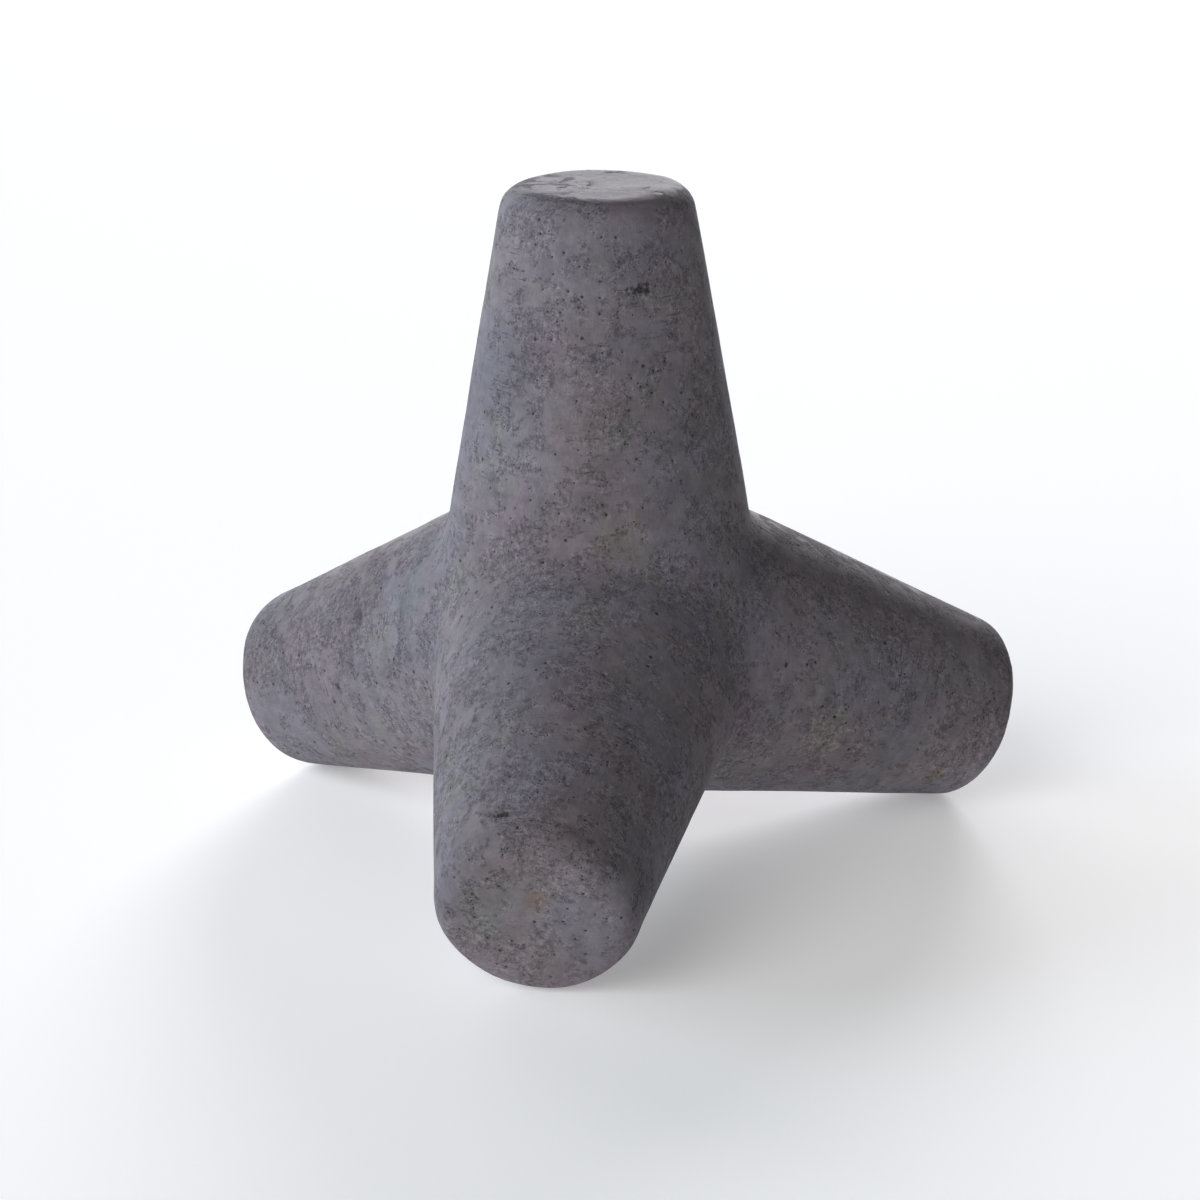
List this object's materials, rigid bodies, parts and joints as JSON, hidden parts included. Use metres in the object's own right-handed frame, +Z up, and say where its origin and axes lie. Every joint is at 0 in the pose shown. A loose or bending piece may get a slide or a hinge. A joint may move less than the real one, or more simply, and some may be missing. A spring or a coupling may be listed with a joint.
{
  "type": "concrete tetrapod",
  "caption": "Cast concrete breakwater armour unit: round tapering legs spread to the corners of a tetrahedron, with flat ends, rounded rims and softly blended creases.",
  "frame": {"origin": "centre of the unit, where the axes of its four legs meet, 616 mm above the floor that it stands on", "axes": "+Z up, along the upright leg; one of the three lower legs points along -Y, to the front, and the other two to the back, 30 degrees behind +X and -X"},
  "size_m": [2.1744, 1.9414, 1.7999],
  "materials": {
    "concrete": "matte"
  },
  "bodies": {
    "root": {"tetrapod": "concrete"}
  },
  "joints": []
}
